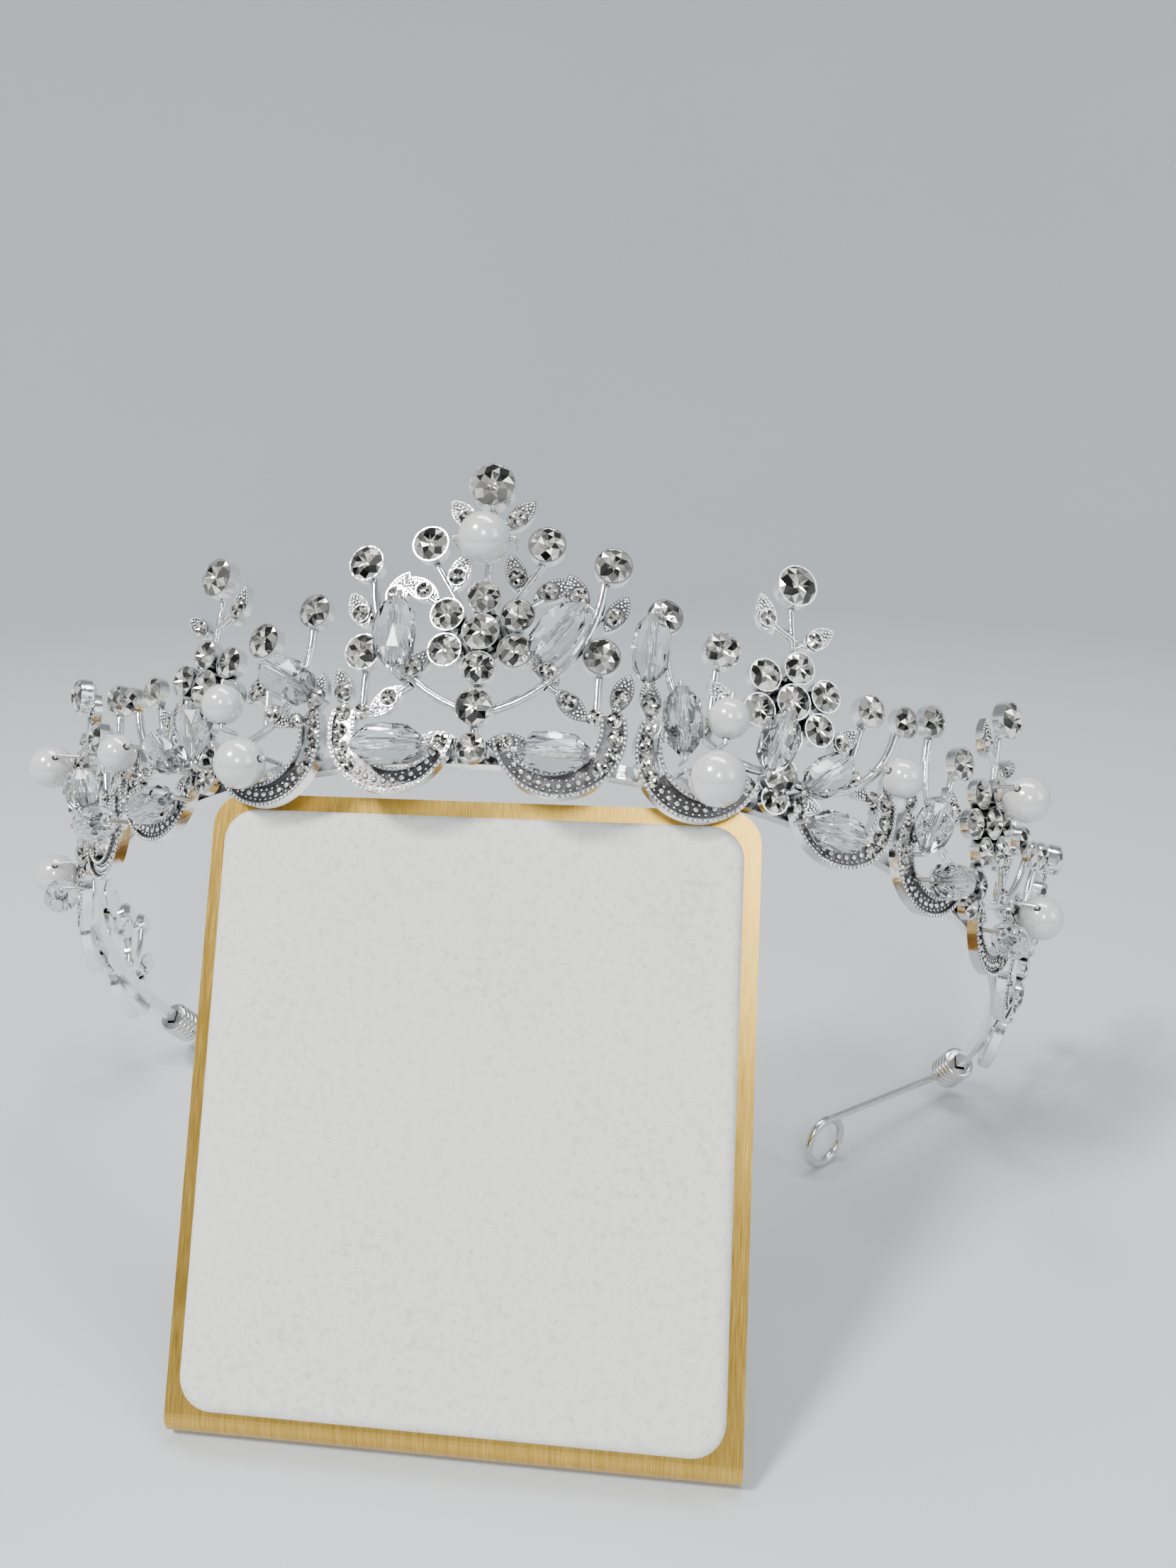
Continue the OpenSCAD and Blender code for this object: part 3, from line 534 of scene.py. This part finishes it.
# Painted reflections: the greys drawn for the main, rim and heart facets
MAIN_REFLECTIONS = (0.03, 0.08, 0.30, 0.6, 1.0, 1.0)
RIM_REFLECTIONS, HEART_REFLECTIONS, BACK_TONE = (0.1, 0.4, 0.85, 1.0), (0.6, 0.9, 1.0), 0.08
WARM_GREEN, WARM_BLUE = 0.96, 0.86
RIM_COVER, RIM_STAND = 0.00030, 0.00013
WELD, FRAME_GIRDLE, SORT_DIGITS = 1e-6, 8, 6
GIRDLE_START = Vector((0.3, 0.2, 1.0))
random.seed(11)


def add_stone(mesh, reflection_tones, middle, out, side, size):
    """One brilliant of this girdle radius: painted reflections in drawn warm greys on the front facets, one
    dark grey on the back.
    """
    up = out.cross(side)

    def corner(eighth, radius, rise):
        angle = math.pi / 4 * eighth
        around = side * math.cos(angle) + up * math.sin(angle)
        return mesh.verts.new(middle + size * (around * radius + out * rise))

    table = [corner(i + 0.5, TABLE, CROWN_RISE) for i in range(8)]
    mid = [corner(i, CROWN_MID, CROWN_MID_RISE) for i in range(8)]
    girdle = [corner(i / 2, 1, 0) for i in range(16)]
    heart = [corner(i, HEART, HEART_RISE) for i in range(8)]
    core = mesh.verts.new(middle + out * size * (HEART_RISE - HEART_DEPTH))
    culet = mesh.verts.new(middle - out * size * CULET)
    shown = []
    for i in range(8):
        j = (i + 1) % 8
        before, even, odd = girdle[2 * i - 1], girdle[2 * i], girdle[2 * i + 1]
        after = girdle[(2 * i + 2) % 16]
        main = random.choice(MAIN_REFLECTIONS)
        between = random.choice(MAIN_REFLECTIONS)
        shown += [((table[i - 1], mid[i], table[i]), main), ((table[i - 1], table[i], heart[i]), main)]
        shown += [((mid[i], even, odd), random.choice(RIM_REFLECTIONS))]
        shown += [((mid[i], before, even), random.choice(RIM_REFLECTIONS))]
        shown += [((mid[i], odd, table[i]), between), ((table[i], odd, mid[j]), between)]
        shown += [((heart[i], table[i], heart[j]), random.choice(HEART_REFLECTIONS))]
        shown += [((heart[i], heart[j], core), random.choice(HEART_REFLECTIONS))]
        shown += [((even, culet, after), BACK_TONE), ((even, after, odd), BACK_TONE)]
    for corners, tone in shown:
        face = mesh.faces.new(corners)
        for loop in face.loops:
            loop[reflection_tones] = (tone, tone * WARM_GREEN, tone * WARM_BLUE, 1)


def stones_of(node):
    """Middle, outward direction, side direction and girdle radius of each stone in a frame node.

    The side points at the girdle corner furthest along GIRDLE_START, so every run turns a stone alike.
    """
    mesh = bmesh.new()
    mesh.from_mesh(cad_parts[node].data)
    bmesh.ops.remove_doubles(mesh, verts=mesh.verts, dist=WELD)
    mesh.verts.index_update()
    left = set(mesh.verts)
    found = []
    while left:
        island, edge = set(), [left.pop()]
        while edge:
            vertex = edge.pop()
            island.add(vertex)
            edge += [v for e in vertex.link_edges for v in e.verts if v not in island]
        left -= island
        island = sorted(island, key=lambda v: v.index)
        middle = sum((v.co for v in island), Vector()) / len(island)
        far = sorted(island, key=lambda v: -(v.co - middle).length)
        girdle, culet = far[:FRAME_GIRDLE], far[FRAME_GIRDLE]
        centre = sum((v.co for v in girdle), Vector()) / FRAME_GIRDLE
        side = max(girdle, key=lambda v: v.co.dot(GIRDLE_START)).co - centre
        found.append((centre, (centre - culet.co).normalized(), side.normalized(), side.length))
    mesh.free()
    return sorted(found, key=lambda stone: tuple(round(c, SORT_DIGITS) for c in stone[0]))


FOIL_SCALE, FOIL_POLISH, FOIL_DULL = 1500.0, 0.03, 0.08


def foiled_surface(shade, place):
    # the base colour is the painted facet reflections stored with the mesh
    tone = shade.node("ShaderNodeVertexColor", {"layer_name": "tone"}, {}, "Color")
    spark = shade.noise(place, FOIL_SCALE, 1.0)
    return {"Base Color": tone, "Roughness": FOIL_POLISH + spark * FOIL_DULL}


foiled = finish_material("foiled_stone", {"Metallic": 0.9, "Coat Weight": 1.0, "Coat Roughness": 0.02},
                         foiled_surface)
for place_name in places:
    for kind in ("stones_", "crest_stone_"):
        cut = bmesh.new()
        reflection_layer = cut.loops.layers.float_color.new("tone")
        for centre, out, side, size in stones_of(kind + place_name):
            add_stone(cut, reflection_layer, centre + out * RIM_STAND, out, side, size + RIM_COVER)
        stones = placed_mesh("cut_" + kind + place_name, cut, [foiled], smooth=False)
        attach(stones, "root")
        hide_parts(kind + place_name)

# Small stones of the outer curls: the same foiled glass with the same painted facet reflections in the five
# little cups at the end of every scallop, the smallest stones of the diadem.
CURL_ANGLES, CURL_RADIUS = (-38, -19, 0, 19), SCALLOP_RADIUS - 0.00125
CURL_END = (SCALLOP_X + 0.0041, SCALLOP_UP + 0.0023)
CURL_CUP, CUP_WALL, CURL_RIM_COVER = 0.0021, 0.00032, 0.00003
CURL_DEPTH_SHARE, CURL_FLOOR, CURL_STAND = 0.8, 0.0006, 0.00005
for place_name in places:
    casting = casting_place(place_name)
    cut = bmesh.new()
    reflection_layer = cut.loops.layers.float_color.new("tone")
    size = CURL_CUP / 2 + CURL_RIM_COVER
    seat = CURL_DEPTH_SHARE * (CURL_CUP / 2 - CUP_WALL) + CURL_FLOOR + CURL_STAND
    for hand in (1, -1):
        face = casting @ scallop_face(hand)
        turns = [math.radians(angle) for angle in CURL_ANGLES]
        spots = [(SCALLOP_X + CURL_RADIUS * math.cos(turn), SCALLOP_UP + CURL_RADIUS * math.sin(turn))
                 for turn in turns] + [CURL_END]
        for x, z in spots:
            spot = face @ Matrix.Translation((x, -seat, z))
            out = (spot.to_3x3() @ Vector((0, -1, 0))).normalized()
            side = (spot.to_3x3() @ Vector((1, 0, 0))).normalized()
            add_stone(cut, reflection_layer, spot.translation, out, side, size)
    curl_stones = placed_mesh("curl_stones_" + place_name, cut, [foiled], smooth=False)
    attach(curl_stones, "root")

# Crystals: drilled beads of clear lead glass, cut all over in small flat facets and polished, and
# bound to the castings by a wire through each bore.
CRYSTALS = 19
STREAK_SCALE, CRYSTAL_HAZE = 700.0, 0.03


def crystal_surface(shade, place):
    streak = shade.noise(place, STREAK_SCALE, 2.0)
    return {"Roughness": streak * CRYSTAL_HAZE}


crystal = finish_material("crystal", {"Base Color": (0.97, 0.99, 1.0, 1), "Transmission Weight": 1.0,
                                      "IOR": 1.42, "Coat Weight": 0.8, "Coat Roughness": 0.01,
                                      "Coat IOR": 1.6}, crystal_surface)
for number in range(1, CRYSTALS + 1):
    dress("crystal_%d" % number, crystal)
    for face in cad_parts["crystal_%d" % number].data.polygons:
        face.use_smooth = False

# Pearls: drilled glass beads under a thick soft-gloss pearl lacquer, faintly warm and uneven, bound
# on by a wire through each bore as the crystals are.
PEARLS = 11
PEARL_WARM, PEARL_COOL = (0.54, 0.525, 0.505), (0.58, 0.58, 0.59)
BLOOM_SCALE, LACQUER_SCALE, LACQUER_BUMP, LACQUER_DEPTH = 220.0, 1800.0, 0.08, 0.00004
LACQUER_GLOSS, LACQUER_DULL, PEARL_GLOW = 0.18, 0.12, 0.001


def pearl_surface(shade, place):
    bloom = shade.noise(place, BLOOM_SCALE, 2.0)
    skin = shade.noise(place, LACQUER_SCALE, 2.0)
    return {
        "Base Color": shade.mixed(bloom, PEARL_WARM, PEARL_COOL),
        "Roughness": LACQUER_GLOSS + skin * LACQUER_DULL,
        "Normal": bumped(shade, skin, LACQUER_BUMP, LACQUER_DEPTH),
    }


pearl = finish_material("pearl", {"Coat Weight": 1.0, "Coat Roughness": 0.11, "Coat IOR": 2.0,
                                  "Specular IOR Level": 0.9, "Subsurface Weight": 0.1,
                                  "Subsurface Radius": (PEARL_GLOW, PEARL_GLOW, PEARL_GLOW)}, pearl_surface)
for number in range(1, PEARLS + 1):
    dress("pearl_%d" % number, pearl)

# Binding wire and end loops: fine drawn silver wire through the beads, and the thicker wrapped
# wire at both ends of the band with its tail and ring.
WIRE_BRIGHT, WIRE_GREY, DRAWN_SCALE = (0.92, 0.91, 0.89), (0.55, 0.54, 0.52), 1400.0
WIRE_POLISH, WIRE_DULL = 0.12, 0.15


def wire_surface(shade, place):
    drawn = shade.noise(place, DRAWN_SCALE, 2.0)
    return {
        "Base Color": shade.mixed(drawn, WIRE_GREY, WIRE_BRIGHT),
        "Roughness": WIRE_POLISH + drawn * WIRE_DULL,
    }


wire = finish_material("drawn_wire", {"Metallic": 1.0}, wire_surface)
for node in ("binding_wire", "end_loop_right", "end_loop_left"):
    dress(node, wire)
